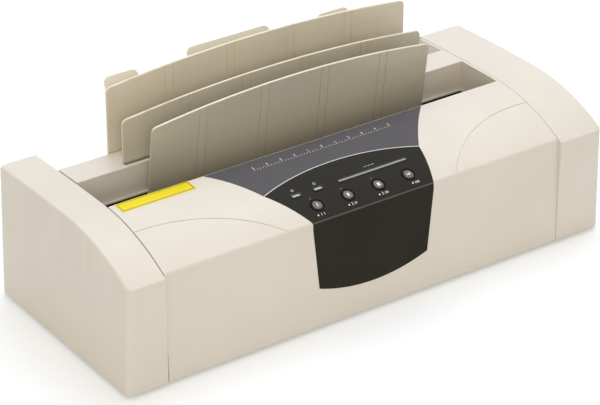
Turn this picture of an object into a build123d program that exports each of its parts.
"""Desktop thermal binding machine: a long casing with two end caps, a heated binding channel,
three arched document plates, a tabbed cooling rack behind them and a four-button control panel.

Millimetres. +X runs to the operator's right, +Y to the back and +Z up. The origin is the middle of
the footprint, on the surface that the rubber feet stand on. Names that end in _setback are measured
back from the front of the end caps, and names that end in _level up from the casing's lower edge.
"""

import os
from math import asin, atan, cos, pi, sin, sqrt

from build123d import *

# ---------------------------------------------------------------- casing
machine_width = 442.0  # over the upper edges of the end caps
machine_depth = 186.0
foot_height = 3.0
wall = 2.5
crown_level = 111.0  # highest line of the end caps
crown_setback = 85.0
cap_front_level = 87.9  # upper front edge of the end caps
cap_rear_level = 108.4
left_cap_width = 31.8
right_cap_width = 41.5
side_draft = 3.0  # the caps' outer faces lean out this far, down to the lower edge
cap_proud = 5.2  # the caps stand this far out at the back
front_proud = 4.0  # and this far at the housing's upper front edge
front_draft = 3.4  # the housing's front leans out this far, down to the lower edge
crown_step = 0.2  # the housing's crown lies this far below the caps' crown
housing_front_level = 89.6
left_seam = 1.2
right_seam = 0.15
cap_corner_radius = 5.0
cap_edge_radius = 2.0
front_edge_radius = 3.0
shell_fit = 0.3

# ---------------------------------------------------------------- channel, ridge and rear step
deck_depth = 80.3  # front of the end caps to the channel
channel_width = 45.3
ridge_width = 27.0
ridge_gap = 0.4  # the ridge stops this far short of the housing's left end
step_level = 80.0
end_wall = 2.3
channel_wall_level = 52.0
channel_edge_radius = 0.7
web_level = 42.0

# ---------------------------------------------------------------- document plates
plate_centre_x = -2.5
plate_thickness = 2.2
plate_edge_radius = 0.7
plate_corner_radius = 5.0
groove_pitch = 56.2
groove_pair_count = 4
groove_pair_spacing = 7.3
groove_width = 0.9
groove_depth = 0.35

rear_pair_width = 281.0
middle_plate_setback = 132.5
middle_corner_level = 146.3
middle_arch_rise = 8.5
middle_foot_level = 92.0  # where the middle plate's tongues stand on the ribs
middle_foot_gap = 0.4  # ridge to the plate's lower edge
middle_slot_width = 5.0

rear_plate_gap = 0.8  # ridge to rear plate
rear_corner_level = 164.4
rear_arch_rise = 8.4

front_plate_width = 260.0
front_plate_setback = 114.8  # plate's middle, level with the trough's rim
front_plate_lean = 7.3
front_corner_level = 147.2
front_arch_rise = 10.0
front_foot_level = 63.0

tab_plate_setback = 14.5  # behind the rear plate, from middle to middle
tab_plate_width = 255.0
tab_plate_thickness = 2.0
tab_bend_level = 135.6
tab_flare = 25.0
tab_length = 26.0
tab_pitch = 100.0
tab_width = 30.0
wide_tab_width = 77.0
wide_tab_extra = 4.0  # the wide tab is this much longer
first_tab_inset = 15.0  # rack plate's left edge to the middle of its first tab
tongue_width = 24.0
tongue_depth = 6.0
tongue_fit = 0.1

# ---------------------------------------------------------------- heater and clamp carriage
trough_rim_level = 85.6
trough_depth = 38.0
trough_sheet = 1.0
trough_fit = 0.3
hem_height = 1.3
hem_overhang = 0.5
pad_thickness = 3.0
element_thickness = 2.0
heater_bar_thickness = 5.0
heater_end_gap = 12.0
element_end_gap = 34.0
heater_side_fit = 0.5
thermostat_radius = 8.0
thermostat_height = 10.0
thermostat_inset = 22.0
blade_length = 6.0
fuse_radius = 2.2
fuse_length = 14.0
sensor_radius = 2.0
sensor_inset = 40.0
bracket_sheet = 1.2
bracket_width = 20.0
bracket_spacing = 220.0
bracket_leg_spacing = 36.0
bracket_foot = 11.0

rod_radius = 2.5
rod_fit = 0.05
rod_level = 69.0
rod_inset = 10.0  # trough's end to the rod's axis
shoe_width = 14.0
shoe_length = 8.0
shoe_height = 14.0
shoe_outer_share = 5.0  # rod's axis to the shoe's outer side
shoe_setback = 114.3
carriage_strip = 1.5
carriage_strip_height = 12.0
strip_grip = 5.0
rivet_radius = 1.5
rivet_head_radius = 2.8
rivet_head_height = 0.8
rivet_count = 4
rivet_pitch = 75.0

# ---------------------------------------------------------------- control panel
panel_centre_x = -2.4
button_setback = 16.2
button_pitch = 28.4
button_count = 4
button_radius = 3.9
button_hole_radius = 4.8
button_height = 0.8
button_crown = 0.5
button_travel = 0.8
button_flange_radius = 5.7
button_flange = 1.0
button_flange_gap = 0.5
stem_radius = 1.8
film = 0.6
film_proud = 0.15
board_depth = 11.0
board_thickness = 1.6
board_length = 124.0
board_front = 9.0
board_back = 24.0
board_boss_radius = 3.0
board_screw_radius = 1.2
board_hole_inset = 4.0
switch_size = 6.0
switch_height = 3.5
plunger_radius = 1.7
plunger_rise = 1.3
plunger_seat = 1.5
plunger_fit = 0.06
window_row = 14.5  # buttons to the row of windows, up the panel
window_length = 7.4
window_height = 3.0
window_xs = (-52.7, -32.6)
light_bar_start = -13.4
light_bar_length = 63.5
light_bar_height = 1.8
dot_row = 7.4
dot_radius = 0.8
dot_shift = -1.7
light_fit = 0.05
led_size = 2.4
led_height = 1.4

# Outline of the panel in plan: each side is an arc through three points, given as the distance
# right of the panel's middle and the setback.
panel_back_gap = 1.0  # the grey field stops this far short of the channel
panel_back_left_x = -102.3
panel_back_right_x = 102.7
panel_waist_left = (-75.8, 37.9)
panel_waist_right = (68.3, 36.6)
panel_front_left_x = -54.8
panel_front_right_x = 58.0
panel_left_bow = 1.0
panel_right_bow = 1.5
panel_arc_rise = 12.6
panel_foot_left_x = -50.0
panel_foot_right_x = 51.9
panel_foot_level = 32.9
panel_foot_drop = 9.0

# Fine engraved arcs on the deck, each from a seam to the front edge: the centre is given as the
# distance in from the outer face of the cap on that side and the setback.
engraving_width = 0.8
engraving_depth = 0.5
left_engraving_centre = (38.6, -108.3)
left_engraving_radius = 152.9
right_engraving_centre = (55.0, -71.6)
right_engraving_radius = 116.7

label_start = 38.0
label_length = 64.5
label_width = 12.0
label_edge = 0.5
label_thickness = 0.2

# ---------------------------------------------------------------- base, boards and mains parts
pan_floor = 2.5
pan_rim = 2.0
pan_rim_height = 9.0
foot_radius = 8.0
foot_inset_x = 24.0
foot_inset_y = 26.0
boss_radius = 5.0
boss_height = 14.0
pillar_radius = 4.5
screw_radius = 1.5
screw_fit = 0.05
screw_clearance = 0.2
screw_grip = 10.0
screw_head_radius = 2.8
screw_head_height = 1.8
housing_screw_spacing_x = 300.0
housing_screw_inset_y = 16.0
cap_screw_inset_x = 14.0
cap_screw_inset_y = 34.0
vent_length = 26.0
vent_width = 3.0
vent_pitch = 8.0
vent_count = 6

power_board_length = 104.0
power_board_width = 46.0
power_board_x = 66.0  # housing's left end to the board's middle
power_board_setback = 53.0
standoff_height = 6.0
standoff_radius = 3.5
standoff_inset = 5.0
core_length = 40.0
core_width = 16.0
core_height = 34.0
winding_width = 26.0
winding_length = 24.0
winding_height = 22.0
relay_size = (19.0, 15.0, 15.0)
capacitor_radius = 6.0
capacitor_height = 17.0
terminal_size = (32.0, 11.0, 13.0)
neutral_pole_shift = 5.0  # terminal block's middle to each of its two mains poles
live_pole_shift = -4.0
buzzer_radius = 6.0
buzzer_height = 9.0

inlet_x = 120.0
inlet_level = 34.0
inlet_width = 27.0
inlet_height = 19.5
inlet_depth = 22.0
inlet_flange_width = 50.0
inlet_flange_height = 24.0
inlet_flange = 2.5
inlet_wall = 1.5
inlet_screw_spacing = 40.0
pin_height = 4.0
pin_thickness = 2.0
pin_length = 14.0
pin_pitch = 7.0
pin_tail = 6.0
switch_gap_x = 44.0
rocker_width = 10.5
rocker_length = 18.0
rocker_pivot_depth = 3.5
rocker_depth = 8.0
rocker_angle = 11.0
rocker_fit = 0.4
pivot_radius = 1.2
pivot_fit = 0.05
switch_body_wall = 1.6
switch_body_depth = 18.0
switch_bezel = 1.6
switch_bezel_lip = 1.4

ribbon_radius = 2.0
ribbon_drop = 14.0
ribbon_exit_x = -44.6
lead_radius = 1.4

# ---------------------------------------------------------------- places worked out from the sizes
left, right = -machine_width / 2, machine_width / 2
front, rear = -machine_depth / 2, machine_depth / 2
base = foot_height
crown_y = front + crown_setback
cap_crown = base + crown_level
housing_crown = cap_crown - crown_step
left_seam_x = left + left_cap_width
right_seam_x = right - right_cap_width
housing_left = left_seam_x + left_seam
housing_right = right_seam_x - right_seam
housing_front = front + front_proud
housing_rear = rear - cap_proud
housing_length = housing_right - housing_left
channel_front = front + deck_depth
channel_rear = channel_front + channel_width
channel_middle = (channel_front + channel_rear) / 2
ridge_rear = channel_rear + ridge_width
step_floor = base + step_level
pan_top = base + pan_floor
rim_top = base + pan_rim_height
above_everything = 2 * crown_level
power_board_middle = housing_left + power_board_x


def level_arc_radius(run, drop):
    """Radius of an arc that starts level and falls by drop over run."""
    return (run**2 + drop**2) / (2 * drop)


def draw_outline(front_y, rear_y, front_top, rear_top, crown, floor, inset, draft):
    """Side outline: flat floor, upright back, a top of two arcs that are level at the crown, and a
    front that leans out by draft down to the casing's lower edge."""
    front_radius = level_arc_radius(crown_y - front_y, crown - front_top)
    rear_radius = level_arc_radius(rear_y - crown_y, crown - rear_top)
    near, far = front_y + inset, rear_y - inset
    near_top = crown - front_radius + sqrt((front_radius - inset) ** 2 - (crown_y - near) ** 2)
    far_top = crown - rear_radius + sqrt((rear_radius - inset) ** 2 - (far - crown_y) ** 2)
    with BuildLine() as outline:
        TangentArc((crown_y, crown - inset), (near, near_top), tangent=(-1, 0))
        TangentArc((crown_y, crown - inset), (far, far_top), tangent=(1, 0))
        near_foot = near - draft * (near_top - floor) / (front_top - base)
        Polyline((near, near_top), (near_foot, floor), (far, floor), (far, far_top))
    make_face(outline.edges())


def cap_section(x, inset=0.0, floor=base):
    """Side section of an end cap at x, drawn in by inset from its skin."""
    with BuildSketch(Plane.YZ.offset(x)) as section:
        front_top, rear_top = base + cap_front_level, base + cap_rear_level
        draw_outline(front, rear, front_top, rear_top, cap_crown, floor, inset, 0)
    return section.sketch


def housing_section(x, inset=0.0, floor=base, rounded=True):
    """Side section of the main housing at x, as if it had no channel, drawn in by inset."""
    ends = (housing_front, housing_rear)
    tops = (base + housing_front_level, base + cap_rear_level - crown_step)
    with BuildSketch(Plane.YZ.offset(x)) as section:
        draw_outline(*ends, *tops, housing_crown, floor, inset, front_draft)
        if rounded and front_edge_radius > inset:
            front_corners = section.vertices().sort_by(Axis.X)[:2]
            fillet(front_corners.sort_by(Axis.Y)[-1], front_edge_radius - inset)
    return section.sketch


def front_wall_y(level):
    """Place of the housing's front skin at a level above the casing's lower edge."""
    return housing_front - front_draft * (1 - level / housing_front_level)


deck_fall = crown_level - crown_step - housing_front_level
deck_radius = level_arc_radius(crown_y - housing_front, deck_fall)
rear_arc_radius = level_arc_radius(housing_rear - crown_y, crown_level - cap_rear_level)
pan_front = front_wall_y(pan_rim_height) + wall + shell_fit
pan_rear = housing_rear - wall - shell_fit


def deck_height(y):
    """Height of the housing's skin at y."""
    radius = deck_radius if y < crown_y else rear_arc_radius
    return housing_crown - radius + sqrt(radius**2 - (crown_y - y) ** 2)


def deck_drop(distance):
    """How far the deck's skin falls below its tangent plane at this distance along it."""
    return deck_radius - sqrt(deck_radius**2 - distance**2)


# The control panel's own plane touches the deck at the middle of the row of buttons.
button_y = front + button_setback
panel_slope = asin((crown_y - button_y) / deck_radius)
panel = Plane(
    origin=(panel_centre_x, button_y, deck_height(button_y)),
    x_dir=(1, 0, 0),
    z_dir=(0, -sin(panel_slope), cos(panel_slope)),
)
button_xs = [(index - (button_count - 1) / 2) * button_pitch for index in range(button_count)]
window_drop = deck_drop(window_row)
dot_drop = deck_drop(dot_row)

# Screw places, shared by the pan's bosses, the shells' pillars and the screws.
housing_screw_ys = (housing_front + housing_screw_inset_y, housing_rear - housing_screw_inset_y)
housing_screws_at = [
    (sign * housing_screw_spacing_x / 2, y) for sign in (-1, 1) for y in housing_screw_ys
]
cap_screw_ys = (front + cap_screw_inset_y, rear - cap_screw_inset_y)
left_cap_screws_at = [(left + cap_screw_inset_x, y) for y in cap_screw_ys]
right_cap_screws_at = [(right - cap_screw_inset_x, y) for y in cap_screw_ys]
all_screws_at = housing_screws_at + left_cap_screws_at + right_cap_screws_at
boss_top = base + boss_height


def pillars(places, section_face, section_length):
    """Screw pillars that hang from a shell's skin down to the pan's bosses."""
    with BuildPart() as group:
        with BuildSketch(Plane.XY.offset(boss_top)):
            with Locations(*places):
                Circle(pillar_radius)
        extrude(amount=above_everything)
        extrude(section_face, amount=section_length, mode=Mode.INTERSECT)
        with BuildSketch(Plane.XY.offset(boss_top)):
            with Locations(*places):
                Circle(screw_radius + screw_fit)
        extrude(amount=screw_grip, mode=Mode.SUBTRACT)
    return group.part


def save(part, name):
    """Label a finished piece and write it under its own name."""
    part.label = name
    export_step(part, f"parts/{name}.step")


os.makedirs("parts", exist_ok=True)

# ================================================================ control panel's skins
panel_edge_level = base + housing_front_level - 2 * front_edge_radius


def plan_point(x, setback):
    """A place on the deck, from its distance right of the panel's middle and its setback."""
    return (panel_centre_x + x, front + setback)


def middle_of(start, end):
    """The point half way between two others."""
    return ((start[0] + end[0]) / 2, (start[1] + end[1]) / 2)


def bowed(start, end, bow):
    """A point half way between two others, moved bow to the left of the way from start to end."""
    run, rise = end[0] - start[0], end[1] - start[1]
    length = sqrt(run**2 + rise**2)
    middle = middle_of(start, end)
    return (middle[0] - bow * rise / length, middle[1] + bow * run / length)


waist_left = plan_point(*panel_waist_left)
waist_right = plan_point(*panel_waist_right)
waist_middle = middle_of(waist_left, waist_right)
waist_top = (waist_middle[0], waist_middle[1] + panel_arc_rise)


def panel_skin(inset_outer, inset_inner, draw_plan, draw_front=None):
    """A thin skin of the deck, cut to an outline in plan and, where given, one on the front face."""
    with BuildPart() as skin:
        with BuildSketch(Plane.XY.offset(panel_edge_level)):
            draw_plan()
        extrude(amount=above_everything)
        if draw_front is not None:
            with BuildSketch(Plane.XZ.offset(-housing_front - wall)):
                draw_front()
            extrude(amount=2 * wall + front_draft)
        extrude(housing_section(housing_left, inset_outer), amount=housing_length, mode=Mode.INTERSECT)
        extrude(housing_section(housing_left, inset_inner), amount=housing_length, mode=Mode.SUBTRACT)
    return skin.part


def draw_black_plan():
    """The black panel on the deck: from its arched upper edge to the front face."""
    front_left = plan_point(panel_front_left_x, front_proud)
    front_right = plan_point(panel_front_right_x, front_proud)
    with BuildLine() as outline:
        ThreePointArc(waist_left, waist_top, waist_right)
        ThreePointArc(waist_right, bowed(waist_right, front_right, panel_left_bow), front_right)
        Polyline(front_right, (front_right[0], front), (front_left[0], front), front_left)
        ThreePointArc(front_left, bowed(front_left, waist_left, -panel_left_bow), waist_left)
    make_face(outline.edges())


def draw_black_front():
    """The black panel on the front face: it narrows a little down to an arched foot."""
    edge_left, edge_right = panel_centre_x + panel_front_left_x, panel_centre_x + panel_front_right_x
    foot_left = (panel_centre_x + panel_foot_left_x, base + panel_foot_level)
    foot_right = (panel_centre_x + panel_foot_right_x, base + panel_foot_level)
    foot_middle = ((foot_left[0] + foot_right[0]) / 2, foot_left[1] - panel_foot_drop)
    with BuildLine() as outline:
        Polyline(foot_left, (edge_left, panel_edge_level), (edge_right, panel_edge_level), foot_right)
        ThreePointArc(foot_right, foot_middle, foot_left)
    make_face(outline.edges())


def draw_grey_plan():
    """The grey field behind the black panel, up to the channel's edge."""
    back_setback = deck_depth - panel_back_gap
    back_left = plan_point(panel_back_left_x, back_setback)
    back_right = plan_point(panel_back_right_x, back_setback)
    with BuildLine() as outline:
        ThreePointArc(waist_left, waist_top, waist_right)
        ThreePointArc(waist_right, bowed(waist_right, back_right, panel_right_bow), back_right)
        Line(back_right, back_left)
        ThreePointArc(back_left, bowed(back_left, waist_left, panel_left_bow), waist_left)
    make_face(outline.edges())


film_inner = film - film_proud
black_skin = panel_skin(-film_proud, film_inner, draw_black_plan, draw_black_front)
grey_skin = panel_skin(-film_proud, film_inner, draw_grey_plan)


def button_bores():
    """Round holes for the four buttons, through the skin and the deck."""
    with BuildPart() as bores:
        with BuildSketch(panel.offset(-2 * wall)):
            with Locations(*[(x, 0) for x in button_xs]):
                Circle(button_hole_radius)
        extrude(amount=4 * wall)
    return bores.part


def light_shapes(grow, low, high):
    """The clear pieces' outlines, grown by grow and extruded from low to high off the panel."""
    with BuildPart() as shapes:
        with BuildSketch(panel.offset(low)):
            with Locations(*[(x, window_row) for x in window_xs]):
                Rectangle(window_length + 2 * grow, window_height + 2 * grow)
            with Locations((light_bar_start + light_bar_length / 2, window_row)):
                SlotOverall(light_bar_length + 2 * grow, light_bar_height + 2 * grow)
            with Locations(*[(x + dot_shift, dot_row) for x in button_xs[:3]]):
                Circle(dot_radius + grow)
        extrude(amount=high - low)
    return shapes.part


panel_openings = [button_bores(), light_shapes(light_fit, -2 * wall, 2 * wall)]

with BuildPart() as black_fascia:
    add(black_skin)
    for opening in panel_openings:
        add(opening, mode=Mode.SUBTRACT)
save(black_fascia.part, "black_fascia")

with BuildPart() as grey_overlay:
    add(grey_skin)
save(grey_overlay.part, "grey_overlay")


def draw_label():
    """The plain label along the channel's front edge."""
    label_middle = (left + label_start + label_length / 2, channel_front - label_edge - label_width / 2)
    with Locations(label_middle):
        Rectangle(label_length, label_width)


yellow_label = panel_skin(-label_thickness, 0.0, draw_label)
save(yellow_label, "yellow_label")


# ================================================================ main housing
def engraving(centre, radius):
    """A fine groove in the deck's skin along an arc in plan."""
    with BuildPart() as groove:
        with BuildSketch(Plane.XY.offset(panel_edge_level)):
            with Locations(centre):
                Circle(radius + engraving_width / 2)
                Circle(radius - engraving_width / 2, mode=Mode.SUBTRACT)
            with Locations(((housing_left + housing_right) / 2, (housing_front + channel_front) / 2)):
                Rectangle(housing_length, channel_front - housing_front - wall, mode=Mode.INTERSECT)
        extrude(amount=above_everything)
        extrude(housing_section(housing_left, -wall), amount=housing_length, mode=Mode.INTERSECT)
        inner = housing_section(housing_left, engraving_depth)
        extrude(inner, amount=housing_length, mode=Mode.SUBTRACT)
    return groove.part


def board_boss_places():
    """The control board's four fixing points in the panel's plane."""
    x = board_length / 2 - board_hole_inset
    ys = (board_hole_inset - board_front, board_back - board_hole_inset)
    return [(sign * x, y) for sign in (-1, 1) for y in ys]


def board_bosses():
    """Bosses from the deck's underside down to the control board."""
    with BuildPart() as bosses:
        with BuildSketch(panel.offset(-board_depth)):
            with Locations(*board_boss_places()):
                Circle(board_boss_radius)
        extrude(amount=2 * board_depth)
        inner = housing_section(housing_left, wall / 2)
        extrude(inner, amount=housing_length, mode=Mode.INTERSECT)
        with BuildSketch(panel.offset(-board_depth)):
            with Locations(*board_boss_places()):
                Circle(board_screw_radius + screw_fit)
        extrude(amount=board_depth - 2 * wall, mode=Mode.SUBTRACT)
    return bosses.part


def wall_rectangle(y_low, y_high, z_low, z_high, mode=Mode.ADD):
    """A rectangle in side view between two depths and two heights."""
    with Locations(((y_low + y_high) / 2, (z_low + z_high) / 2)):
        Rectangle(y_high - y_low, z_high - z_low, mode=mode)


rear_plate_front = ridge_rear + rear_plate_gap
rear_plate_y = rear_plate_front + plate_thickness / 2
tab_plate_y = rear_plate_y + tab_plate_setback
middle_plate_y = front + middle_plate_setback
rear_pair_left = plate_centre_x - rear_pair_width / 2
tongue_xs = [plate_centre_x + share * rear_pair_width / 3 for share in (-1, 0, 1)]
inlet_z = base + inlet_level
rocker_x = inlet_x - switch_gap_x
switch_body_width = rocker_width + 2 * rocker_fit + 2 * switch_body_wall
switch_body_length = rocker_length + 2 * rocker_fit + 2 * switch_body_wall

notch_top = rim_top + shell_fit
pan_notch_y = (pan_front - shell_fit, pan_rear + shell_fit)
edge_reach = 0.01  # how near an edge lies to the place it is picked by
trough_left = housing_left + trough_fit
trough_right = housing_right - end_wall - trough_fit


def is_on_skin(edge):
    """True for an edge that lies in the housing's outer skin, on the deck or the ridge."""
    return edge.center().Z > deck_height(edge.center().Y) - edge_reach


def box_between(x, y, z, mode=Mode.ADD):
    """A box between two places on each axis."""
    with Locations(((x[0] + x[1]) / 2, (y[0] + y[1]) / 2, (z[0] + z[1]) / 2)):
        Box(x[1] - x[0], y[1] - y[0], z[1] - z[0], mode=mode)


with BuildPart() as main_housing:
    # A shell, open below and at its left end, with its screw pillars.
    extrude(housing_section(housing_left), amount=housing_length)
    cavity = housing_section(housing_left, wall, base - wall, rounded=False)
    extrude(cavity, amount=housing_length - end_wall, mode=Mode.SUBTRACT)
    add(pillars(housing_screws_at, housing_section(housing_left, wall / 2), housing_length))

    # The channel's two walls, the ridge's rear wall and the floor of the rear step.
    with BuildSketch(Plane.YZ.offset(housing_left)):
        for wall_y in (channel_front - wall, channel_rear):
            top = deck_height(wall_y + wall / 2) - wall / 2
            wall_rectangle(wall_y, wall_y + wall, base + channel_wall_level, top)
        ridge_top = deck_height(ridge_rear) - wall / 2
        wall_rectangle(ridge_rear - wall, ridge_rear, step_floor - wall, ridge_top)
        wall_rectangle(ridge_rear - wall, housing_rear - wall / 2, step_floor - wall, step_floor)
    extrude(amount=housing_length - end_wall / 2)
    with BuildSketch(Plane.YZ.offset(housing_left)):
        wall_rectangle(channel_front, channel_rear, base + channel_wall_level, above_everything)
        wall_rectangle(ridge_rear, rear, step_floor, above_everything)
    extrude(amount=housing_length - end_wall, mode=Mode.SUBTRACT)

    # The ridge stops short on the left, where a wall closes it; ribs inside carry the middle plate.
    ridge_left = housing_left + ridge_gap
    gap_z = (step_floor, above_everything)
    box_between((housing_left, ridge_left), (channel_rear, rear), gap_z, Mode.SUBTRACT)
    box_between((ridge_left, ridge_left + wall), (channel_rear, ridge_rear), (step_floor - wall, ridge_top))
    for tongue_x in tongue_xs:
        rib = (tongue_x - wall / 2, tongue_x + wall / 2)
        ridge_inside = (channel_rear + wall / 2, ridge_rear - wall / 2)
        box_between(rib, ridge_inside, (step_floor - wall, base + middle_foot_level))

    # A low web ties the front to the rear at the left; the pan passes under it and the end wall.
    tied = (front_wall_y(web_level) + wall / 4, housing_rear - wall / 2)
    box_between((housing_left, housing_left + wall), tied, (notch_top, base + web_level))
    end_wall_x = (housing_right - end_wall, housing_right)
    box_between(end_wall_x, pan_notch_y, (base, notch_top), Mode.SUBTRACT)

    # Rounded edges along the channel and the ridge.
    long_edges = main_housing.edges().filter_by(Axis.X).filter_by(is_on_skin)
    for y in (channel_front, channel_rear, ridge_rear):
        fillet(long_edges.filter_by_position(Axis.Y, y - edge_reach, y + edge_reach), channel_edge_radius)
        long_edges = main_housing.edges().filter_by(Axis.X).filter_by(is_on_skin)

    # The middle plate's slot, and the seats of the rear plate and the rack plate in the step's floor.
    slot_back = middle_plate_y + plate_thickness / 2 + tongue_fit
    slot_x = (rear_pair_left - tongue_fit, rear_pair_left + rear_pair_width + tongue_fit)
    middle_slot_y = (slot_back - middle_slot_width, slot_back)
    box_between(slot_x, middle_slot_y, (base + middle_foot_level, above_everything), Mode.SUBTRACT)
    with BuildSketch(Plane.XY.offset(step_floor - wall)):
        for seat_y, thickness in ((rear_plate_y, plate_thickness), (tab_plate_y, tab_plate_thickness)):
            with Locations(*[(x, seat_y) for x in tongue_xs]):
                Rectangle(tongue_width + 2 * tongue_fit, thickness + 2 * tongue_fit)
    extrude(amount=wall, mode=Mode.SUBTRACT)

    # Control panel: bosses below the deck, the skins' shallow bed, and the openings.
    add(board_bosses())
    add(black_skin, mode=Mode.SUBTRACT)
    add(grey_skin, mode=Mode.SUBTRACT)
    for opening in panel_openings:
        add(opening, mode=Mode.SUBTRACT)
    left_centre = (left + left_engraving_centre[0], front + left_engraving_centre[1])
    right_centre = (right - right_engraving_centre[0], front + right_engraving_centre[1])
    add(engraving(left_centre, left_engraving_radius), mode=Mode.SUBTRACT)
    add(engraving(right_centre, right_engraving_radius), mode=Mode.SUBTRACT)

    # Openings for the power inlet and the switch in the rear wall.
    with BuildSketch(Plane.XZ.offset(-housing_rear)):
        with Locations((inlet_x, inlet_z)):
            Rectangle(inlet_width + 2 * shell_fit, inlet_height + 2 * shell_fit)
            with GridLocations(inlet_screw_spacing, 0, 2, 1):
                Circle(screw_radius + screw_fit)
        with Locations((rocker_x, inlet_z)):
            Rectangle(switch_body_width + 2 * shell_fit, switch_body_length + 2 * shell_fit)
    extrude(amount=wall, mode=Mode.SUBTRACT)
save(main_housing.part, "main_housing")


# ================================================================ end caps
flute_radius = 13.0
flute_depth = 1.4
flute_setbacks = (163.0, 128.0, 95.0, 56.0)
flute_top_gap = 11.0  # below the cap's upper edge
flute_length_share = 0.62  # of the cap's height where the flute stands


def cap_height(y):
    """Height of an end cap's skin at y."""
    drop = cap_front_level if y < crown_y else cap_rear_level
    radius = level_arc_radius(abs((front if y < crown_y else rear) - crown_y), crown_level - drop)
    return cap_crown - radius + sqrt(radius**2 - (crown_y - y) ** 2)


def flute(outer_x, outward, y):
    """A shallow scallop in a cap's outer face, deepest at its round upper end and fading downwards."""
    top = cap_height(y) - flute_top_gap
    length = (top - base) * flute_length_share
    lean = atan(flute_depth / length + side_draft / crown_level)
    face_x = outer_x + outward * side_draft * (cap_crown - top) / crown_level
    centre_x = face_x + outward * (flute_radius - flute_depth)
    axis = Plane(origin=(centre_x, y, top), x_dir=(0, 1, 0), z_dir=(outward * sin(lean), 0, -cos(lean)))
    with BuildPart() as scallop:
        with BuildSketch(axis):
            Circle(flute_radius)
        extrude(amount=length)
        with Locations(axis.location):
            Sphere(flute_radius)
    return scallop.part


def climbs(edge):
    """True for an edge that goes up most of the casing's height."""
    return abs((edge @ 1 - edge @ 0).Z) > cap_front_level / 2


def crowns(edge):
    """True for an edge of the curved top."""
    return edge.center().Z > base + wall and not climbs(edge)


def cap_solid(outer_x, inner_x, outward, inset=0.0, floor=base):
    """An end cap's full shape, drawn in by inset; its outer face leans out, down to its lower edge."""
    head_x, foot_x = outer_x - outward * inset, outer_x + outward * (side_draft - inset)
    low, high = sorted((foot_x, inner_x + outward * inset))
    with BuildPart() as solid:
        extrude(cap_section(low, inset, floor), amount=high - low)
        with BuildSketch(Plane.XZ):
            with BuildLine():
                Polyline((foot_x, base), (head_x, cap_crown), (foot_x, cap_crown), close=True)
            make_face()
        extrude(amount=machine_depth, both=True, mode=Mode.SUBTRACT)
    return solid.part


def end_cap(outer_x, inner_x, outward, screws_at):
    """A hollow end cap: outward is -1 for the left one and 1 for the right one."""
    outer_index = 0 if outward < 0 else -1
    low, high = sorted((outer_x, inner_x))
    with BuildPart() as cap:
        add(cap_solid(outer_x, inner_x, outward))
        fillet(cap.faces().sort_by(Axis.X)[outer_index].edges().filter_by(climbs), cap_corner_radius)
        fillet(cap.faces().sort_by(Axis.X)[outer_index].edges().filter_by(crowns), cap_edge_radius)
        for setback in flute_setbacks:
            add(flute(outer_x, outward, front + setback), mode=Mode.SUBTRACT)
        add(cap_solid(outer_x, inner_x, outward, wall, base - wall), mode=Mode.SUBTRACT)
        add(pillars(screws_at, cap_section(low, wall / 2), high - low))
        inner_wall = sorted((inner_x, inner_x + outward * wall))
        box_between(inner_wall, pan_notch_y, (base, notch_top), Mode.SUBTRACT)
    return cap.part


left_end_cap = end_cap(left, left_seam_x, -1, left_cap_screws_at)
save(left_end_cap, "left_end_cap")
right_end_cap = end_cap(right, right_seam_x, 1, right_cap_screws_at)
save(right_end_cap, "right_end_cap")


# ================================================================ base pan, feet and screws
power_board_y = front + power_board_setback
power_board_at = (power_board_middle, power_board_y)
standoff_reach = (power_board_length / 2 - standoff_inset, power_board_width / 2 - standoff_inset)
foot_reach = (right - foot_inset_x, rear - foot_inset_y)
corners = [(sx, sy) for sx in (-1, 1) for sy in (-1, 1)]
standoff_places = [
    (power_board_middle + sx * standoff_reach[0], power_board_y + sy * standoff_reach[1])
    for sx, sy in corners
]
foot_places = [(sx * foot_reach[0], sy * foot_reach[1]) for sx, sy in corners]


def draw_pan():
    """The pan's outline: inside the housing in the middle and inside the caps at its ends."""
    rim_draft = side_draft * (1 - pan_rim_height / crown_level)
    pan_left = left - rim_draft + wall + shell_fit
    pan_right = right + rim_draft - wall - shell_fit
    outer_half = rear - wall - shell_fit
    with Locations(((pan_left + pan_right) / 2, (pan_front + pan_rear) / 2)):
        Rectangle(pan_right - pan_left, pan_rear - pan_front)
    left_inner, right_inner = left_seam_x - wall - shell_fit, right_seam_x + wall + shell_fit
    for end, seam in ((pan_left, left_inner), (pan_right, right_inner)):
        with Locations(((end + seam) / 2, 0)):
            Rectangle(abs(seam - end), 2 * outer_half)


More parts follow.
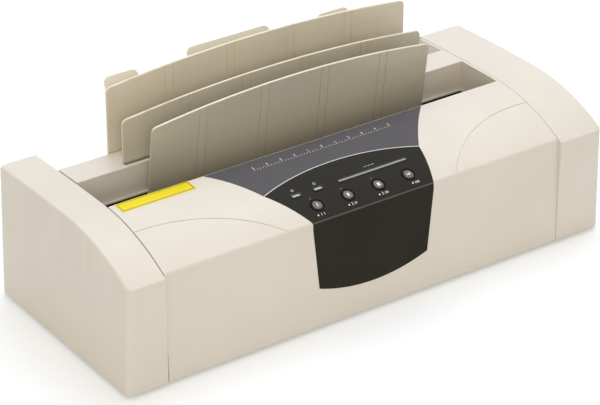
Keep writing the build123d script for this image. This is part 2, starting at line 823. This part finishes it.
with BuildPart() as base_pan:
    with BuildSketch(Plane.XY.offset(base)) as floor_sketch:
        draw_pan()
        fillet(floor_sketch.vertices().group_by(Axis.X)[0], cap_corner_radius - wall)
        fillet(floor_sketch.vertices().group_by(Axis.X)[-1], cap_corner_radius - wall)
    extrude(amount=pan_rim_height)
    with BuildSketch(Plane.XY.offset(pan_top)):
        add(floor_sketch.sketch)
        offset(amount=-pan_rim, mode=Mode.REPLACE)
    extrude(amount=pan_rim_height, mode=Mode.SUBTRACT)
    with BuildSketch(Plane.XY.offset(base)):
        with Locations(*all_screws_at):
            Circle(boss_radius)
    extrude(amount=boss_height)
    with BuildSketch(Plane.XY.offset(base)):
        with Locations(*standoff_places):
            Circle(standoff_radius)
    extrude(amount=pan_floor + standoff_height)
    # Screw holes with sunk heads, pilot holes for the board, and a row of vents below the heater.
    with BuildSketch(Plane.XY.offset(base)):
        with Locations(*all_screws_at):
            Circle(screw_radius + screw_clearance)
    extrude(amount=boss_height, mode=Mode.SUBTRACT)
    with BuildSketch(Plane.XY.offset(base)):
        with Locations(*all_screws_at):
            Circle(screw_head_radius + screw_clearance)
    extrude(amount=screw_head_height, mode=Mode.SUBTRACT)
    with BuildSketch(Plane.XY.offset(pan_top)):
        with Locations(*standoff_places):
            Circle(screw_radius + screw_fit)
    extrude(amount=standoff_height, mode=Mode.SUBTRACT)
    with BuildSketch(Plane.XY.offset(base)):
        with Locations((0, channel_middle)):
            with GridLocations(vent_length * 2, vent_pitch, 3, vent_count):
                SlotOverall(vent_length, vent_width)
    extrude(amount=pan_floor, mode=Mode.SUBTRACT)
save(base_pan.part, "base_pan")

with BuildPart() as rubber_feet:
    with BuildSketch():
        with Locations(*foot_places):
            Circle(foot_radius)
    extrude(amount=foot_height)
    chamfer(rubber_feet.edges().group_by(Axis.Z)[0], foot_height / 5)
save(rubber_feet.part, "rubber_feet")


def screws(plane, places, radius, length, head_radius, head_height):
    """Screws that point along a plane's normal, with the underside of each head on the plane."""
    with BuildPart() as group:
        with BuildSketch(plane):
            with Locations(*places):
                Circle(radius)
        extrude(amount=length)
        with BuildSketch(plane):
            with Locations(*places):
                Circle(head_radius)
        extrude(amount=-head_height)
        with BuildSketch(plane.offset(-head_height)):
            with Locations(*places):
                Rectangle(head_radius, head_radius / 4)
                Rectangle(head_radius / 4, head_radius)
        extrude(amount=head_height / 2, mode=Mode.SUBTRACT)
    return group.part


screw_plane = Plane.XY.offset(base + screw_head_height)
screw_length = boss_height - screw_head_height + screw_grip - shell_fit
cap_screws_at = left_cap_screws_at + right_cap_screws_at
for name, places in (("housing_screws", housing_screws_at), ("cap_screws", cap_screws_at)):
    group = screws(screw_plane, places, screw_radius, screw_length, screw_head_radius, screw_head_height)
    save(group, name)


# ================================================================ document plates
plate_half = plate_thickness / 2


def arched_plate(plane, width, corner, rise, foot, tongues=(), tongue_foot=0.0):
    """A thin plate with an arched top and rounded edges; heights run up the plane, from its origin."""
    half = width / 2

    def shows(edge):
        return plane.to_local_coords(edge.center()).Y > foot + plate_thickness

    with BuildPart() as plate:
        with BuildSketch(plane) as face:
            with BuildLine():
                Polyline((-half, corner), (-half, foot), (half, foot), (half, corner))
                ThreePointArc((half, corner), (0, corner + rise), (-half, corner))
            make_face()
            fillet(face.vertices().group_by(Axis.Y)[-1], plate_corner_radius)
        extrude(amount=plate_half, both=True)
        across = Axis(plane.origin, plane.z_dir)
        for skin in (plate.faces().sort_by(across)[0], plate.faces().sort_by(across)[-1]):
            fillet(skin.edges().filter_by(shows), plate_edge_radius)
        for side in (-1, 1):
            with BuildSketch(plane.offset(side * plate_half)):
                with GridLocations(groove_pitch, 0, groove_pair_count, 1):
                    with GridLocations(groove_pair_spacing, 0, 2, 1):
                        Rectangle(groove_width, 4 * corner)
            extrude(amount=-side * groove_depth, mode=Mode.SUBTRACT)
        for tongue_x in tongues:
            with BuildSketch(plane):
                with Locations((tongue_x - plate_centre_x, (foot + tongue_foot) / 2)):
                    Rectangle(tongue_width, foot - tongue_foot)
            extrude(amount=plate_half, both=True)
    return plate.part


def upright_plane(y, z):
    """An upright plane across the machine that faces the operator."""
    return Plane(origin=(plate_centre_x, y, z), x_dir=(1, 0, 0), z_dir=(0, -1, 0))


middle_plate = arched_plate(
    upright_plane(middle_plate_y, base),
    rear_pair_width,
    middle_corner_level,
    middle_arch_rise,
    deck_height(middle_plate_y) - base + middle_foot_gap,
    tongue_xs,
    middle_foot_level,
)
save(middle_plate, "middle_plate")

rear_plate = arched_plate(
    upright_plane(rear_plate_y, base),
    rear_pair_width,
    rear_corner_level,
    rear_arch_rise,
    step_level,
    tongue_xs,
    step_level - tongue_depth,
)
save(rear_plate, "rear_plate")

lean = front_plate_lean * pi / 180
trough_rim = base + trough_rim_level
front_plate_y = front + front_plate_setback
front_plane = Plane(
    origin=(plate_centre_x, front_plate_y, trough_rim),
    x_dir=(1, 0, 0),
    z_dir=(0, -cos(lean), -sin(lean)),
)


def up_the_slope(level):
    """Distance up the leaning front plate from the trough's rim to a level."""
    return (level - trough_rim_level) / cos(lean)


front_foot = up_the_slope(front_foot_level)
front_plate_solid = arched_plate(
    front_plane,
    front_plate_width,
    up_the_slope(front_corner_level),
    front_arch_rise / cos(lean),
    front_foot,
)
rivet_xs = [(index - (rivet_count - 1) / 2) * rivet_pitch for index in range(rivet_count)]
rivet_places = [(x, front_foot + carriage_strip_height / 2) for x in rivet_xs]


def rivet_shanks(grow):
    """Round shanks through the plate and the carriage's strip, grown by grow."""
    with BuildPart() as shanks:
        with BuildSketch(front_plane.offset(-plate_half)):
            with Locations(*rivet_places):
                Circle(rivet_radius + grow)
        extrude(amount=plate_thickness + carriage_strip)
    return shanks.part


with BuildPart() as front_plate:
    add(front_plate_solid)
    add(rivet_shanks(rod_fit), mode=Mode.SUBTRACT)
save(front_plate.part, "front_plate")

with BuildPart() as tab_plate:
    # The upright sheet, and three tabs that flare to the back from a line of bends.
    with BuildSketch(Plane.XZ.offset(-tab_plate_y)):
        with Locations((plate_centre_x, base + (step_level + tab_bend_level) / 2)):
            Rectangle(tab_plate_width, tab_bend_level - step_level)
    extrude(amount=tab_plate_thickness / 2, both=True)
    flare = tab_flare * pi / 180
    mitre = tab_plate_thickness / 2 * sin(flare / 2) / cos(flare / 2)
    bend = base + tab_bend_level
    near, far = tab_plate_y - tab_plate_thickness / 2, tab_plate_y + tab_plate_thickness / 2
    side_y, side_z = cos(flare) * tab_plate_thickness / 2, sin(flare) * tab_plate_thickness / 2
    first_tab_x = plate_centre_x - tab_plate_width / 2 + first_tab_inset
    wide_tab_length = tab_length + wide_tab_extra
    tabs = ((tab_width, tab_length), (wide_tab_width, wide_tab_length), (tab_width, tab_length))
    for index, (width, length) in enumerate(tabs):
        tab_left = first_tab_x + index * tab_pitch - width / 2
        tip_y, tip_z = tab_plate_y + length * sin(flare), bend + length * cos(flare)
        with BuildSketch(Plane.YZ.offset(tab_left)):
            with BuildLine():
                Polyline(
                    (near, bend - wall),
                    (near, bend + mitre),
                    (tip_y - side_y, tip_z + side_z),
                    (tip_y + side_y, tip_z - side_z),
                    (far, bend - mitre),
                    (far, bend - wall),
                    close=True,
                )
            make_face()
        extrude(amount=width)
    tip_edges = tab_plate.edges().filter_by(lambda e: e.center().Z > bend + tab_length / 2)
    short_edges = tip_edges.filter_by(lambda e: e.length < 1.5 * tab_plate_thickness)
    fillet(short_edges, plate_corner_radius)
    for tongue_x in tongue_xs:
        tongue = (tongue_x - tongue_width / 2, tongue_x + tongue_width / 2)
        box_between(tongue, (near, far), (step_floor - tongue_depth, step_floor))
save(tab_plate.part, "tab_plate")


# ================================================================ heater
trough_front = channel_front + trough_fit
trough_back = channel_rear - trough_fit
trough_under = trough_rim - trough_depth
trough_floor = trough_under + trough_sheet
pad_top = trough_floor + pad_thickness
element_top = pad_top + element_thickness
heater_top = element_top + heater_bar_thickness
heater_y = (
    trough_front + trough_sheet + heater_side_fit,
    trough_back - trough_sheet - heater_side_fit,
)
pad_x = (trough_left + element_end_gap, trough_right - element_end_gap)
thermostat_x = trough_right - thermostat_inset
sensor_x = trough_left + sensor_inset / 2
rod_xs = (trough_left + rod_inset, trough_right - rod_inset)
rod_z = base + rod_level
bracket_xs = (-bracket_spacing / 2, bracket_spacing / 2)
bracket_screw_places = [
    (x, channel_middle + side * bracket_leg_spacing / 4) for x in bracket_xs for side in (-1, 1)
]
lead_y = channel_middle - bracket_leg_spacing / 4
lead_pair_ys = (lead_y - 2 * lead_radius, lead_y + 2 * lead_radius)
lead_drop_x = pad_x[0] - 4 * lead_radius

with BuildPart() as heater_trough:
    box_between((trough_left, trough_right), (trough_front, trough_back), (trough_under, trough_rim))
    inside_x = (trough_left + trough_sheet, trough_right - trough_sheet)
    inside_y = (trough_front + trough_sheet, trough_back - trough_sheet)
    box_between(inside_x, inside_y, (trough_floor, trough_rim), Mode.SUBTRACT)
    for hem_y in ((inside_y[0], inside_y[0] + hem_overhang), (inside_y[1] - hem_overhang, inside_y[1])):
        box_between((trough_left, trough_right), hem_y, (trough_rim - hem_height, trough_rim))
    with BuildSketch(Plane.XZ.offset(-trough_back)):
        with Locations(*[(x, rod_z) for x in rod_xs]):
            Circle(rod_radius + rod_fit)
    extrude(amount=channel_width, mode=Mode.SUBTRACT)
    with BuildSketch(Plane.XY.offset(trough_under)):
        with Locations((thermostat_x, channel_middle)):
            Circle(thermostat_radius + shell_fit)
        with Locations((sensor_x, channel_middle)):
            Circle(sensor_radius + shell_fit)
        with Locations(*bracket_screw_places):
            Circle(screw_radius + screw_fit)
        with Locations(*[(lead_drop_x, y) for y in lead_pair_ys]):
            Circle(lead_radius + screw_clearance)
    extrude(amount=trough_sheet, mode=Mode.SUBTRACT)
save(heater_trough.part, "heater_trough")

with BuildPart() as insulation_pad:
    box_between(pad_x, heater_y, (trough_floor, pad_top))
    with BuildSketch(Plane.XY.offset(trough_floor)):
        with Locations(*bracket_screw_places):
            Circle(screw_head_radius + screw_clearance)
    extrude(amount=screw_head_height + screw_clearance, mode=Mode.SUBTRACT)
save(insulation_pad.part, "insulation_pad")

with BuildPart() as heating_element:
    box_between(pad_x, heater_y, (pad_top, element_top))
save(heating_element.part, "heating_element")

with BuildPart() as heating_plate:
    plate_x = (trough_left + heater_end_gap, trough_right - heater_end_gap)
    box_between(plate_x, heater_y, (element_top, heater_top))
    chamfer(heating_plate.edges().filter_by(Axis.X).group_by(Axis.Z)[-1], heater_bar_thickness / 5)
save(heating_plate.part, "heating_plate")

with BuildPart() as thermostat:
    with BuildSketch(Plane.XY.offset(element_top)):
        with Locations((thermostat_x, channel_middle)):
            Circle(thermostat_radius)
    extrude(amount=-thermostat_height)
    with BuildSketch(Plane.XY.offset(element_top - thermostat_height)):
        with Locations((thermostat_x, channel_middle)):
            with GridLocations(thermostat_radius, 0, 2, 1):
                Rectangle(lead_radius / 2, 2 * lead_radius)
    extrude(amount=-blade_length)
save(thermostat.part, "thermostat")

with BuildPart() as temperature_sensor:
    with BuildSketch(Plane.XY.offset(trough_under - blade_length)):
        with Locations((sensor_x, channel_middle)):
            Circle(sensor_radius)
    extrude(amount=element_top - trough_under + blade_length)
save(temperature_sensor.part, "temperature_sensor")

with BuildPart() as thermal_fuse:
    fuse_y = channel_middle + bracket_leg_spacing / 4
    fuse_z = trough_floor + fuse_radius
    with BuildSketch(Plane.YZ.offset(sensor_x - fuse_length / 2)):
        with Locations((fuse_y, fuse_z)):
            Circle(fuse_radius)
    extrude(amount=fuse_length)
save(thermal_fuse.part, "thermal_fuse")

bracket_under = trough_under - bracket_sheet
with BuildPart() as heater_brackets:
    for bracket_x in bracket_xs:
        across_x = (bracket_x - bracket_width / 2, bracket_x + bracket_width / 2)
        half_span = bracket_leg_spacing / 2
        leg_span = (channel_middle - half_span, channel_middle + half_span)
        box_between(across_x, leg_span, (bracket_under, trough_under))
        for side in (-1, 1):
            inner = channel_middle + side * (half_span - bracket_sheet)
            outer = channel_middle + side * half_span
            toe = channel_middle + side * (half_span + bracket_foot)
            box_between(across_x, sorted((inner, outer)), (pan_top, trough_under))
            box_between(across_x, sorted((inner, toe)), (pan_top, pan_top + bracket_sheet))
    with BuildSketch(Plane.XY.offset(bracket_under)):
        with Locations(*bracket_screw_places):
            Circle(screw_radius + screw_fit)
    extrude(amount=bracket_sheet, mode=Mode.SUBTRACT)
save(heater_brackets.part, "heater_brackets")

bracket_screw_plane = Plane(origin=(0, 0, trough_floor), x_dir=(1, 0, 0), z_dir=(0, 0, -1))
flipped_places = [(x, -y) for x, y in bracket_screw_places]
bracket_screws = screws(
    bracket_screw_plane,
    flipped_places,
    screw_radius,
    trough_sheet + 3 * bracket_sheet,
    screw_head_radius,
    screw_head_height,
)
save(bracket_screws, "bracket_screws")

# ================================================================ clamp carriage
shoe_y = front + shoe_setback
strip_ends = (
    rod_xs[0] - shoe_outer_share + shoe_width - strip_grip,
    rod_xs[1] + shoe_outer_share - shoe_width + strip_grip,
)
strip_y = front_foot + carriage_strip_height / 2


def strip_solid(x_low, x_high, grow=0.0):
    """The carriage's strip, flat on the front plate's face."""
    with BuildPart() as strip:
        with BuildSketch(front_plane.offset(plate_half - grow)):
            with Locations(((x_low + x_high) / 2 - plate_centre_x, strip_y)):
                Rectangle(x_high - x_low, carriage_strip_height + 2 * grow)
        extrude(amount=carriage_strip + 2 * grow)
    return strip.part


with BuildPart() as carriage_strip_part:
    add(strip_solid(*strip_ends))
    add(rivet_shanks(rod_fit), mode=Mode.SUBTRACT)
save(carriage_strip_part.part, "carriage_strip")

with BuildPart() as carriage_shoes:
    for rod_x, outward in zip(rod_xs, (-1, 1)):
        outer_side = rod_x + outward * shoe_outer_share
        shoe_x = sorted((outer_side, outer_side - outward * shoe_width))
        shoe_ys = (shoe_y - shoe_length / 2, shoe_y + shoe_length / 2)
        box_between(shoe_x, shoe_ys, (rod_z - shoe_height / 2, rod_z + shoe_height / 2))
    fillet(carriage_shoes.edges().filter_by(Axis.Y), shoe_height / 10)
    with BuildSketch(Plane.XZ.offset(-shoe_y)):
        with Locations(*[(x, rod_z) for x in rod_xs]):
            Circle(rod_radius + rod_fit)
    extrude(amount=shoe_length, both=True, mode=Mode.SUBTRACT)
    add(strip_solid(*strip_ends, grow=rod_fit), mode=Mode.SUBTRACT)
save(carriage_shoes.part, "carriage_shoes")

with BuildPart() as guide_rods:
    with BuildSketch(Plane.XZ.offset(-trough_back)):
        with Locations(*[(x, rod_z) for x in rod_xs]):
            Circle(rod_radius)
    extrude(amount=trough_back - trough_front)
save(guide_rods.part, "guide_rods")

with BuildPart() as carriage_rivets:
    add(rivet_shanks(0))
    for distance in (-plate_half - rivet_head_height, plate_half + carriage_strip):
        with BuildSketch(front_plane.offset(distance)):
            with Locations(*rivet_places):
                Circle(rivet_head_radius)
        extrude(amount=rivet_head_height)
save(carriage_rivets.part, "carriage_rivets")

# ================================================================ control panel
board_top = -board_depth
board_under = board_top - board_thickness
board_middle = (board_back - board_front) / 2
switch_top = board_top + switch_height
plunger_top = switch_top + plunger_rise
plunger_foot = switch_top - plunger_seat


def panel_piece(outlines, low, high):
    """A piece drawn in the panel's plane and extruded from low to high along its normal."""
    with BuildPart() as piece:
        with BuildSketch(panel.offset(low)):
            outlines()
        extrude(amount=high - low)
    return piece.part


with BuildPart() as control_board:
    with BuildSketch(panel.offset(board_under)):
        with Locations((0, board_middle)):
            Rectangle(board_length, board_front + board_back)
        with Locations(*board_boss_places()):
            Circle(board_screw_radius + screw_clearance, mode=Mode.SUBTRACT)
    extrude(amount=board_thickness)
save(control_board.part, "control_board")

board_screws = screws(
    panel.offset(board_under),
    board_boss_places(),
    board_screw_radius,
    board_thickness + 2 * wall,
    2 * board_screw_radius,
    board_screw_radius,
)
save(board_screws, "board_screws")

with BuildPart() as tact_switches:
    with BuildSketch(panel.offset(board_top)):
        with Locations(*[(x, 0) for x in button_xs]):
            Rectangle(switch_size, switch_size)
    extrude(amount=switch_height)
    well_depth = plunger_seat + button_travel + shell_fit
    with BuildSketch(panel.offset(switch_top)):
        with Locations(*[(x, 0) for x in button_xs]):
            Circle(plunger_radius + plunger_fit)
    extrude(amount=-well_depth, mode=Mode.SUBTRACT)
save(tact_switches.part, "tact_switches")

flange_top = -wall - button_flange_gap
for index, button_x in enumerate(button_xs, start=1):
    with BuildPart() as button:
        with BuildSketch(panel.offset(flange_top)):
            with Locations((button_x, 0)):
                Circle(button_radius)
        extrude(amount=button_height - flange_top)
        crown_edge = button.edges().filter_by(GeomType.CIRCLE).sort_by(Axis(panel.origin, panel.z_dir))[-1]
        fillet(crown_edge, button_crown)
        with BuildSketch(panel.offset(flange_top - button_flange)):
            with Locations((button_x, 0)):
                Circle(button_flange_radius)
        extrude(amount=button_flange)
        with BuildSketch(panel.offset(plunger_top)):
            with Locations((button_x, 0)):
                Circle(stem_radius)
        extrude(amount=flange_top - button_flange - plunger_top)
    save(button.part, f"button_{index}")

    with BuildPart() as plunger:
        with BuildSketch(panel.offset(plunger_foot)):
            with Locations((button_x, 0)):
                Circle(plunger_radius)
        extrude(amount=plunger_top - plunger_foot)
    save(plunger.part, f"plunger_{index}")

# Light pieces: two windows, the long bar and the dots, each a clear piece above its lamps.
lamp_top = board_top + led_height


def light_pieces(outlines, drop):
    """Clear pieces that reach from just above the lamps to flush with the panel's skin."""
    return panel_piece(outlines, lamp_top, film_proud - drop)


def draw_windows():
    """The two oblong windows."""
    with Locations(*[(x, window_row) for x in window_xs]):
        Rectangle(window_length, window_height)


def draw_light_bar():
    """The long bar with round ends."""
    with Locations((light_bar_start + light_bar_length / 2, window_row)):
        SlotOverall(light_bar_length, light_bar_height)


def draw_dots():
    """The three round dots."""
    with Locations(*[(x + dot_shift, dot_row) for x in button_xs[:3]]):
        Circle(dot_radius)


save(light_pieces(draw_windows, window_drop), "window_lenses")
save(light_pieces(draw_light_bar, window_drop), "light_bar")
save(light_pieces(draw_dots, dot_drop), "dot_lenses")


def draw_lamps():
    """One lamp below each window and dot, and a row of them below the bar."""
    with Locations(*[(x, window_row) for x in window_xs]):
        Rectangle(led_size, led_size)
    with Locations(*[(x + dot_shift, dot_row) for x in button_xs[:3]]):
        Rectangle(led_size, led_size)
    bar_lamps = int(light_bar_length // (3 * led_size))
    with Locations((light_bar_start + light_bar_length / 2, window_row)):
        with GridLocations(light_bar_length / bar_lamps, 0, bar_lamps, 1):
            Rectangle(led_size, led_size)


save(panel_piece(draw_lamps, board_top, lamp_top), "indicator_leds")


# ================================================================ power board
board_seat = pan_top + standoff_height
power_top = board_seat + board_thickness


def on_board(x_share, y_share):
    """A place on the power board, in shares of its half length and half width."""
    x = power_board_middle + x_share * power_board_length / 2
    return (x, power_board_y + y_share * power_board_width / 2)


with BuildPart() as power_board:
    with BuildSketch(Plane.XY.offset(board_seat)):
        with Locations(power_board_at):
            Rectangle(power_board_length, power_board_width)
        with Locations(*standoff_places):
            Circle(screw_radius + screw_clearance, mode=Mode.SUBTRACT)
    extrude(amount=board_thickness)
save(power_board.part, "power_board")

power_screw_plane = Plane(origin=(0, 0, power_top), x_dir=(1, 0, 0), z_dir=(0, 0, -1))
power_screw_places = [(x, -y) for x, y in standoff_places]
power_board_screws = screws(
    power_screw_plane,
    power_screw_places,
    screw_radius,
    board_thickness + standoff_height - shell_fit,
    screw_head_radius,
    screw_head_height,
)
save(power_board_screws, "power_board_screws")


def board_block(name, place, size, edge):
    """A rectangular component that stands on the power board."""
    with BuildPart() as block:
        with BuildSketch(Plane.XY.offset(power_top)):
            with Locations(place):
                Rectangle(size[0], size[1])
        extrude(amount=size[2])
        fillet(block.edges().group_by(Axis.Z)[-1], edge)
    save(block.part, name)


transformer_place = on_board(0.3, 0.1)
with BuildPart() as transformer_core:
    with BuildSketch(Plane.XY.offset(power_top)):
        with Locations(transformer_place):
            Rectangle(core_length, core_width)
    extrude(amount=core_height)
    # Two windows through the core hold the winding.
    side_leg = (core_length - winding_length) / 2
    window_margin = (core_height - winding_height) / 2
    middle_leg = winding_length / 3
    for side in (-1, 1):
        inner = transformer_place[0] + side * middle_leg / 2
        outer = transformer_place[0] + side * winding_length / 2
        core_y = (transformer_place[1] - core_width / 2, transformer_place[1] + core_width / 2)
        window_z = (power_top + window_margin, power_top + core_height - window_margin)
        box_between(sorted((inner, outer)), core_y, window_z, Mode.SUBTRACT)
save(transformer_core.part, "transformer_core")

with BuildPart() as transformer_winding:
    x, y = transformer_place
    wound_x = (x - winding_length / 2, x + winding_length / 2)
    wound_y = (y - winding_width / 2, y + winding_width / 2)
    box_between(wound_x, wound_y, window_z)
    fillet(transformer_winding.edges().filter_by(Axis.Z), side_leg / 2)
    leg_y = (y - core_width / 2, y + core_width / 2)
    box_between((x - middle_leg / 2, x + middle_leg / 2), leg_y, window_z, Mode.SUBTRACT)
    add(transformer_core.part, mode=Mode.SUBTRACT)
save(transformer_winding.part, "transformer_winding")

board_block("relay", on_board(-0.3, 0.5), relay_size, board_thickness / 2)
terminal_place = on_board(-0.45, -0.6)
board_block("terminal_block", terminal_place, terminal_size, board_thickness / 4)

with BuildPart() as capacitors:
    with BuildSketch(Plane.XY.offset(power_top)):
        with Locations(on_board(0.0, -0.7), on_board(-0.75, 0.35)):
            Circle(capacitor_radius)
    extrude(amount=capacitor_height)
    fillet(capacitors.edges().group_by(Axis.Z)[-1], capacitor_radius / 6)
save(capacitors.part, "capacitors")

with BuildPart() as buzzer:
    with BuildSketch(Plane.XY.offset(power_top)):
        with Locations(on_board(0.85, 0.0)):
            Circle(buzzer_radius)
    extrude(amount=buzzer_height)
    with BuildSketch(Plane.XY.offset(power_top + buzzer_height)):
        with Locations(on_board(0.85, 0.0)):
            Circle(buzzer_radius / 5)
    extrude(amount=-board_thickness, mode=Mode.SUBTRACT)
save(buzzer.part, "buzzer")

# ================================================================ power inlet and switch
rear_plane = Plane(origin=(0, housing_rear, 0), x_dir=(1, 0, 0), z_dir=(0, -1, 0))
inlet_at = (inlet_x, inlet_z)
earth_pin_at = (inlet_x, inlet_z + pin_height / 2)
pin_places = [(inlet_x - pin_pitch, inlet_z), (inlet_x + pin_pitch, inlet_z), earth_pin_at]

with BuildPart() as power_inlet:
    with BuildSketch(rear_plane):
        with Locations(inlet_at):
            RectangleRounded(inlet_flange_width, inlet_flange_height, inlet_flange)
    extrude(amount=-inlet_flange)
    with BuildSketch(rear_plane):
        with Locations(inlet_at):
            Rectangle(inlet_width, inlet_height)
    extrude(amount=inlet_depth)
    # The recess for the lead's socket has two clipped upper corners.
    with BuildSketch(rear_plane.offset(-inlet_flange)) as recess:
        with Locations(inlet_at):
            Rectangle(inlet_width - 2 * inlet_wall, inlet_height - 2 * inlet_wall)
        chamfer(recess.vertices().group_by(Axis.Y)[-1], inlet_wall * 2)
    recess_depth = inlet_flange + inlet_depth - 2 * inlet_wall
    extrude(amount=recess_depth, mode=Mode.SUBTRACT)
    with BuildSketch(rear_plane.offset(-inlet_flange)):
        with Locations(inlet_at):
            with GridLocations(inlet_screw_spacing, 0, 2, 1):
                Circle(screw_radius + screw_clearance)
    extrude(amount=inlet_flange, mode=Mode.SUBTRACT)
    with BuildSketch(rear_plane):
        with Locations(*pin_places):
            Rectangle(pin_thickness, pin_height)
    extrude(amount=inlet_depth, mode=Mode.SUBTRACT)
save(power_inlet.part, "power_inlet")

with BuildPart() as inlet_pins:
    with BuildSketch(rear_plane.offset(inlet_depth - 2 * inlet_wall - pin_length)):
        with Locations(*pin_places):
            Rectangle(pin_thickness, pin_height)
    extrude(amount=pin_length + 2 * inlet_wall + pin_tail)
save(inlet_pins.part, "inlet_pins")

inlet_screws = screws(
    rear_plane.offset(-inlet_flange),
    [(inlet_x + side * inlet_screw_spacing / 2, inlet_z) for side in (-1, 1)],
    screw_radius,
    inlet_flange + 2 * wall,
    screw_head_radius,
    screw_head_height,
)
save(inlet_screws, "inlet_screws")

# The rocker turns on two short pins, across the machine, that seat in its housing's cheeks.
pivot_y = housing_rear - rocker_pivot_depth
rocker_half = rocker_width / 2
with BuildPart() as switch_body:
    with BuildSketch(rear_plane):
        with Locations((rocker_x, inlet_z)):
            Rectangle(switch_body_width, switch_body_length)
    extrude(amount=switch_body_depth)
    with BuildSketch(rear_plane):
        with Locations((rocker_x, inlet_z)):
            bezel_width = switch_body_width + 2 * switch_bezel_lip
            bezel_length = switch_body_length + 2 * switch_bezel_lip
            RectangleRounded(bezel_width, bezel_length, switch_bezel_lip)
    extrude(amount=-switch_bezel)
    with BuildSketch(rear_plane.offset(-switch_bezel)):
        with Locations((rocker_x, inlet_z)):
            Rectangle(rocker_width + 2 * rocker_fit, rocker_length + 2 * rocker_fit)
    extrude(amount=switch_bezel + switch_body_depth - switch_body_wall, mode=Mode.SUBTRACT)
    with BuildSketch(Plane.YZ.offset(rocker_x)):
        with Locations((pivot_y, inlet_z)):
            Circle(pivot_radius + pivot_fit)
    extrude(amount=rocker_half + rocker_fit + switch_body_wall / 2, both=True, mode=Mode.SUBTRACT)
    with BuildSketch(rear_plane.offset(switch_body_depth)):
        with Locations((rocker_x, inlet_z)):
            with GridLocations(0, rocker_length / 2, 1, 2):
                Rectangle(rocker_half, lead_radius / 2)
    extrude(amount=pin_tail)
save(switch_body.part, "switch_body")

with BuildPart() as switch_rocker:
    # Side view of the rocker: a shallow V outside and a keel behind its pivot.
    tilt = rocker_angle * pi / 180
    half_length = rocker_length / 2
    valley_y = housing_rear + switch_bezel / 2
    crest_y = valley_y + half_length * sin(tilt) / cos(tilt)
    reach = (half_length - (crest_y - pivot_y) * sin(tilt)) / cos(tilt)
    with BuildSketch(Plane.YZ.offset(rocker_x)):
        with BuildLine():
            Polyline(
                (valley_y, inlet_z),
                (crest_y, inlet_z + reach),
                (pivot_y, inlet_z + half_length / 2),
                (pivot_y - rocker_depth, inlet_z),
                (pivot_y, inlet_z - half_length / 2),
                (crest_y, inlet_z - reach),
                close=True,
            )
        make_face()
    extrude(amount=rocker_half, both=True)
    with BuildSketch(Plane.YZ.offset(rocker_x)):
        with Locations((pivot_y, inlet_z)):
            Circle(pivot_radius)
    extrude(amount=rocker_half + rocker_fit + switch_body_wall / 2 - pivot_fit, both=True)
turned_rocker = switch_rocker.part.rotate(Axis((rocker_x, pivot_y, inlet_z), (1, 0, 0)), -rocker_angle)
save(turned_rocker, "switch_rocker")


# ================================================================ inside wiring
def lead(points, radius, bend):
    """A round lead along straight runs with a rounded bend at each corner."""
    with BuildPart() as tube:
        with BuildLine():
            route = FilletPolyline(*points, radius=bend)
        start = Plane(origin=points[0], z_dir=Vector(*points[1]) - Vector(*points[0]))
        with BuildSketch(start):
            Circle(radius)
        sweep(path=route)
    return tube.part


terminal_top = power_top + terminal_size[2]
lead_bend = 3 * lead_radius
heater_lead_z = element_top - lead_radius - shell_fit
with BuildPart() as heater_leads:
    for side, run_z in ((1, terminal_top + 6 * lead_radius), (-1, terminal_top + 9 * lead_radius)):
        start_y, end_y = lead_y + side * 2 * lead_radius, terminal_place[1] + side * 2 * lead_radius
        route_points = [
            (pad_x[0], start_y, heater_lead_z),
            (lead_drop_x, start_y, heater_lead_z),
            (lead_drop_x, start_y, run_z),
            (lead_drop_x, end_y, run_z),
            (lead_drop_x, end_y, terminal_top),
        ]
        add(lead(route_points, lead_radius, 2 * lead_radius))
save(heater_leads.part, "heater_leads")

tail_end_y = housing_rear - inlet_depth - pin_tail
switch_tail_y = housing_rear - switch_body_depth - pin_tail
upper_tail_z, lower_tail_z = inlet_z + rocker_length / 4, inlet_z - rocker_length / 4
neutral_y = tail_end_y - 10 * lead_radius
live_y = neutral_y + 4 * lead_radius
jumper_y = live_y + 1.5 * lead_radius
neutral_end = (terminal_place[0] + neutral_pole_shift, terminal_place[1] + 2 * lead_radius)
live_end = (terminal_place[0] + live_pole_shift, terminal_place[1] - lead_radius)
mains_routes = [
    [
        (inlet_x + pin_pitch, tail_end_y, inlet_z),
        (inlet_x + pin_pitch, neutral_y, inlet_z),
        (neutral_end[0], neutral_y, inlet_z),
        (neutral_end[0], neutral_end[1], inlet_z),
        (neutral_end[0], neutral_end[1], terminal_top),
    ],
    [
        (rocker_x, switch_tail_y, lower_tail_z),
        (rocker_x, live_y, lower_tail_z),
        (live_end[0], live_y, lower_tail_z),
        (live_end[0], live_end[1], lower_tail_z),
        (live_end[0], live_end[1], terminal_top),
    ],
    [
        (inlet_x - pin_pitch, tail_end_y, inlet_z),
        (inlet_x - pin_pitch, jumper_y, inlet_z),
        (rocker_x, jumper_y, upper_tail_z),
        (rocker_x, switch_tail_y, upper_tail_z),
    ],
]
with BuildPart() as mains_leads:
    for route_points in mains_routes:
        add(lead(route_points, lead_radius, lead_bend / 1.5))
save(mains_leads.part, "mains_leads")

ribbon_exit = panel.from_local_coords((ribbon_exit_x, board_middle, board_under))
ribbon_turn = panel.from_local_coords((ribbon_exit_x, board_middle, board_under - ribbon_drop))
power_board_right = power_board_middle + power_board_length / 2
ribbon_end = (power_board_right - 6 * ribbon_radius, power_board_y - power_board_width / 3)
ribbon_run_z = power_top + 8 * ribbon_radius
ribbon_points = [
    tuple(ribbon_exit),
    tuple(ribbon_turn),
    (ribbon_turn.X, ribbon_end[1], ribbon_run_z),
    (ribbon_end[0], ribbon_end[1], ribbon_run_z),
    (ribbon_end[0], ribbon_end[1], power_top),
]
ribbon_cable = lead(ribbon_points, ribbon_radius, 3 * ribbon_radius)
save(ribbon_cable, "ribbon_cable")
